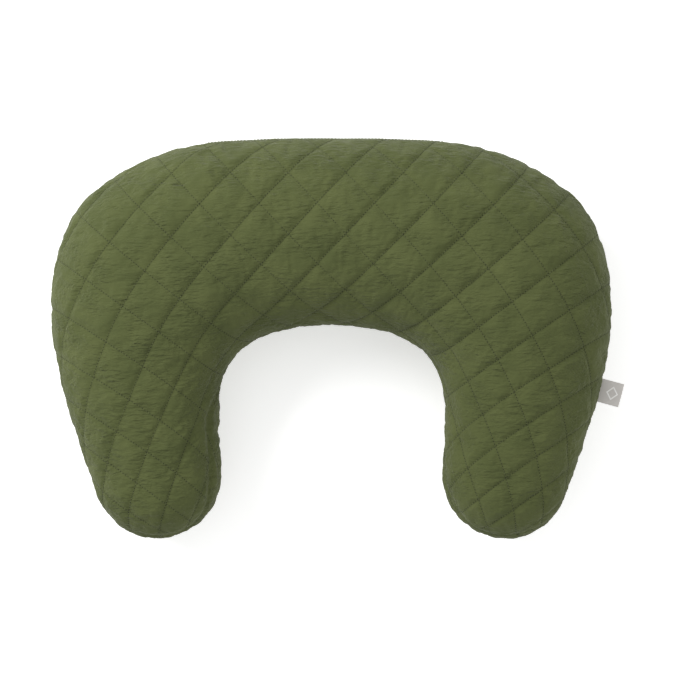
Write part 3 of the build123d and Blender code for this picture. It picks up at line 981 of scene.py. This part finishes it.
COVER_DARK, COVER_LIGHT = (0.069, 0.083, 0.0270), (0.088, 0.103, 0.0345)
finishes = {
    "quilted_cover": cloth("olive_quilted_cotton", COVER_DARK, COVER_LIGHT, 0.0006, 0.00015, 0.0034),
    "wadding": cloth(
        "white_wadding", (0.70, 0.69, 0.65), (0.80, 0.79, 0.76), 0.002, 0.0002, 0.0010, 1.0, 0.3
    ),
    "cover_backing": cloth("backing_cotton", (0.60, 0.58, 0.50), (0.68, 0.66, 0.58), 0.0006, 0.0001, 0.0004),
    "insert_casing": cloth("insert_cotton", (0.70, 0.69, 0.66), (0.78, 0.77, 0.74), 0.0005, 0.0001, 0.0006),
    "fibre_filling": cloth(
        "polyester_fibre", (0.74, 0.74, 0.73), (0.82, 0.82, 0.81), 0.002, 0.0002, 0.0015, 1.0, 0.4
    ),
    "zip_tape": cloth(
        "zip_tape_weave", (0.052, 0.062, 0.025), (0.066, 0.078, 0.032), 0.0007, 0.00018, 0.0001, 0.85
    ),
    "woven_label": cloth(
        "grey_woven_ribbon", (0.60, 0.575, 0.545), (0.68, 0.655, 0.625), 0.00045, 0.00014, 0.0001, 0.75
    ),
    "care_ribbon": cloth(
        "white_satin_ribbon", (0.74, 0.73, 0.71), (0.79, 0.78, 0.76), 0.0004, 0.00008, 0.0001, 0.55
    ),
    "zip_coil": material("nylon_coil", (0.045, 0.054, 0.022), 0.38)[0],
    "zip_metal": material("painted_zinc", (0.050, 0.057, 0.026), 0.32, metallic=0.35)[0],
}
thread_finish = material("olive_thread", (0.086, 0.100, 0.036), 0.7)[0]
# painted shade: a near-black colour for the discs where the needle holes' shade falls
hole_shade_finish = material("needle_hole_shade", (0.012, 0.015, 0.005), 1.0)[0]
mark_finish = material("light_woven_yarn", (0.90, 0.89, 0.87), 0.7)[0]


def dress(piece, finish):
    piece.data.materials.clear()
    piece.data.materials.append(finish)


# ---- every piece's finish, picked by its material slot, and the body the new pieces ride on ----
for part in frame["record"]["subparts"]:
    node, slot = nodes[part["node"]], part["material_slot"]
    dress(node, finishes[slot])
    if slot == "zip_metal":
        bevel = node.modifiers.new("soft_edges", "BEVEL")
        bevel.width = 0.00025
        bevel.segments = 3
        bevel.limit_method = "ANGLE"

new_pieces = [(top_panel, "quilted_cover", None), (underside_panel, "quilted_cover", None)]
new_pieces += [(piece, "quilted_cover", thread_finish) for piece in (*quilt_threads, *zip_stitches)]
# the painted needle-hole shade discs take the near-black colour
new_pieces += [(piece, "quilted_cover", hole_shade_finish) for piece in quilt_hole_shades]
new_pieces += [(piece, "zip_coil", None) for piece in coil_pieces]
new_pieces += [(label_piece, "woven_label", None), (mark_piece, "woven_label", mark_finish)]
new_pieces += [(facing_piece, "quilted_cover", None)]
new_pieces += [(casing_piece, "insert_casing", None), (filling_piece, "fibre_filling", None)]
for piece, slot, finish in new_pieces:
    dress(piece, finish or finishes[slot])
    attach(piece, "cushion")

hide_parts("cover_top_face", "cover_top_wadding", "cover_top_backing")
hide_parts("cover_underside_face", "cover_underside_wadding", "cover_underside_backing")

# ---- floor, light and camera ----
bpy.ops.mesh.primitive_plane_add(size=6, location=(0, 0, -0.0006))
floor = bpy.context.object
floor.name = "floor"
floor_finish = material("pale_floor", (0.93, 0.93, 0.93), 0.9)[0]
floor_shader = floor_finish.node_tree.nodes["Principled BSDF"]
floor_shader.inputs["Emission Color"].default_value = (1, 1, 1, 1)
floor_shader.inputs["Emission Strength"].default_value = 0.45
dress(floor, floor_finish)

world = bpy.data.worlds.new("white_room")
bpy.context.scene.world = world
world.use_nodes = True
world.node_tree.nodes["Background"].inputs["Color"].default_value = (1, 1, 1, 1)
world.node_tree.nodes["Background"].inputs["Strength"].default_value = 0.66


def area_light(name, place, target, size, energy):
    data = bpy.data.lights.new(name, "AREA")
    data.size, data.energy = size, energy
    lamp = bpy.data.objects.new(name, data)
    bpy.context.scene.collection.objects.link(lamp)
    lamp.location = place
    lamp.rotation_euler = (Vector(target) - Vector(place)).to_track_quat("-Z", "Y").to_euler()


area_light("key_upper_left", (-1.7, 1.2, 1.6), (0, 0, 0.05), 1.4, 60)
area_light("fill_right", (1.8, 0.3, 1.6), (0, 0, 0.05), 1.8, 8)

view = bpy.context.scene.view_settings
view.view_transform = "Standard"
view.look = "None"

camera_data = bpy.data.cameras.new("main_camera")
camera = bpy.data.objects.new("main_camera", camera_data)
bpy.context.scene.collection.objects.link(camera)
bpy.context.scene.camera = camera
CAMERA_HEIGHT = 2.5
CAMERA_WIDTH = 0.7301  # what the picture spans at the seam's height
camera_data.sensor_width = 36
camera_data.lens = 36 * (CAMERA_HEIGHT - SEAM_Z) / CAMERA_WIDTH
camera.location = (MIDDLE_X + 0.0086, -0.0011, CAMERA_HEIGHT)
camera.rotation_euler = (0, 0, 0)
